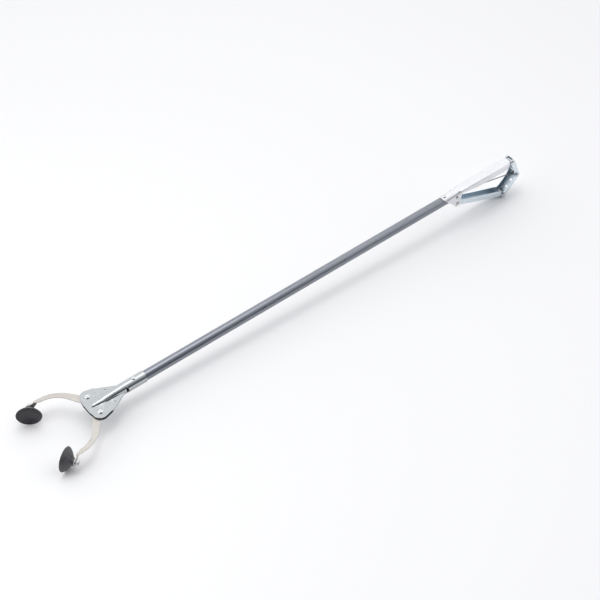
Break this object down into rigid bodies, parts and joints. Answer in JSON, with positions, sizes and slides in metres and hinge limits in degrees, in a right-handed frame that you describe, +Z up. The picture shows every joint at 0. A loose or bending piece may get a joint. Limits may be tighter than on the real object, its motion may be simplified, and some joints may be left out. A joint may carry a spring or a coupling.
{
  "type": "reacher grabber",
  "caption": "Long-reach pick-up tool: a squeeze handle with a bar linkage pulls a rod in a thin tube and closes curved jaws tipped with rubber suction cups.",
  "frame": {"origin": "the middle of the whole tool's footprint, on the surface it stands on", "axes": "+X from the jaws towards the handle, +Z up; the tube itself rises 2.3 degrees towards the handle, because the tool rests on its cups and on the rear of its trigger"},
  "size_m": [0.9607, 0.1426, 0.0753],
  "materials": {
    "tube": "dark blue-grey satin",
    "head_plate": "zinc plated, satin",
    "jaw": "satin, worn",
    "rubber": "matte black",
    "handle": "bright zinc",
    "fastener": "bright zinc",
    "bush": "natural",
    "spring_steel": "drawn wire"
  },
  "bodies": {
    "shaft": {"shaft_tube": "tube", "head_plate_top": "head_plate", "head_plate_bottom": "head_plate", "head_collar_rivet_top": "fastener", "head_collar_rivet_bottom": "fastener", "jaw_rivet_left": "fastener", "jaw_rivet_right": "fastener", "jaw_spacer_left": "fastener", "jaw_spacer_right": "fastener", "front_guide_bush": "bush", "spring_rear_bush": "bush", "rear_guide_bush": "bush", "return_spring": "spring_steel", "handle_body": "handle", "handle_rivet_top": "fastener", "handle_rivet_left": "fastener", "handle_rivet_right": "fastener", "trigger_pivot_pin": "fastener", "top_link_pin": "fastener"},
    "rod": {"pull_rod": "spring_steel", "pull_yoke": "fastener", "yoke_pin": "fastener", "spring_stop_collar": "fastener"},
    "wire": {"pull_wire": "spring_steel"},
    "left_jaw": {"jaw_left": "jaw", "suction_cup_left": "rubber", "cup_screw_left": "fastener", "cup_washer_left": "fastener", "cup_nut_left": "fastener"},
    "right_jaw": {"jaw_right": "jaw", "suction_cup_right": "rubber", "cup_screw_right": "fastener", "cup_washer_right": "fastener", "cup_nut_right": "fastener"},
    "squeeze_trigger": {"trigger": "handle", "trigger_link_pin": "fastener"},
    "lower_link": {"middle_link": "handle"},
    "upper_link": {"top_link": "handle", "wire_link_pin": "fastener"}
  },
  "joints": [
    {"name": "trigger_hinge", "type": "hinge", "parent": "shaft", "child": "squeeze_trigger", "pos_m": [0.33518, 0, 0.04593], "axis": [0, -1, 0], "range_deg": [0, 7.8], "stiffness_Nm_per_rad": 6, "springref_deg": -3.44},
    {"name": "lower_link_hinge", "type": "hinge", "parent": "squeeze_trigger", "child": "lower_link", "pos_m": [0.44733, 0, 0.00612], "axis": [0, -1, 0], "range_deg": [-24.2, 0]},
    {"name": "upper_link_hinge", "type": "hinge", "parent": "shaft", "child": "upper_link", "pos_m": [0.4603, 0, 0.07058], "axis": [0, -1, 0], "range_deg": [0, 21.5]},
    {"name": "rod_slide", "type": "slide", "parent": "shaft", "child": "rod", "axis": [0.9992, 0, 0.0394], "range_m": [0, 0.0108], "deforming": ["return_spring"]},
    {"name": "wire_hinge", "type": "hinge", "parent": "rod", "child": "wire", "pos_m": [0.3456, 0, 0.06065], "axis": [0, -1, 0], "range_deg": [0, 3.1]},
    {"name": "left_jaw_hinge", "type": "hinge", "parent": "shaft", "child": "left_jaw", "pos_m": [-0.38083, 0.018, 0.03198], "axis": [-0.0394, 0, 0.9992], "range_deg": [0, 32.6]},
    {"name": "right_jaw_hinge", "type": "hinge", "parent": "shaft", "child": "right_jaw", "pos_m": [-0.38083, -0.018, 0.03198], "axis": [-0.0394, 0, 0.9992], "range_deg": [-32.6, 0]}
  ],
  "couplings": [
    {"joint": "lower_link_hinge", "follows": "trigger_hinge", "ratio": -3.0478},
    {"joint": "upper_link_hinge", "follows": "trigger_hinge", "ratio": 2.6658},
    {"joint": "rod_slide", "follows": "trigger_hinge", "m_per_rad": 0.078104},
    {"joint": "wire_hinge", "follows": "trigger_hinge", "ratio": 0.37539},
    {"joint": "left_jaw_hinge", "follows": "trigger_hinge", "ratio": 4.137},
    {"joint": "right_jaw_hinge", "follows": "trigger_hinge", "ratio": -4.137}
  ]
}
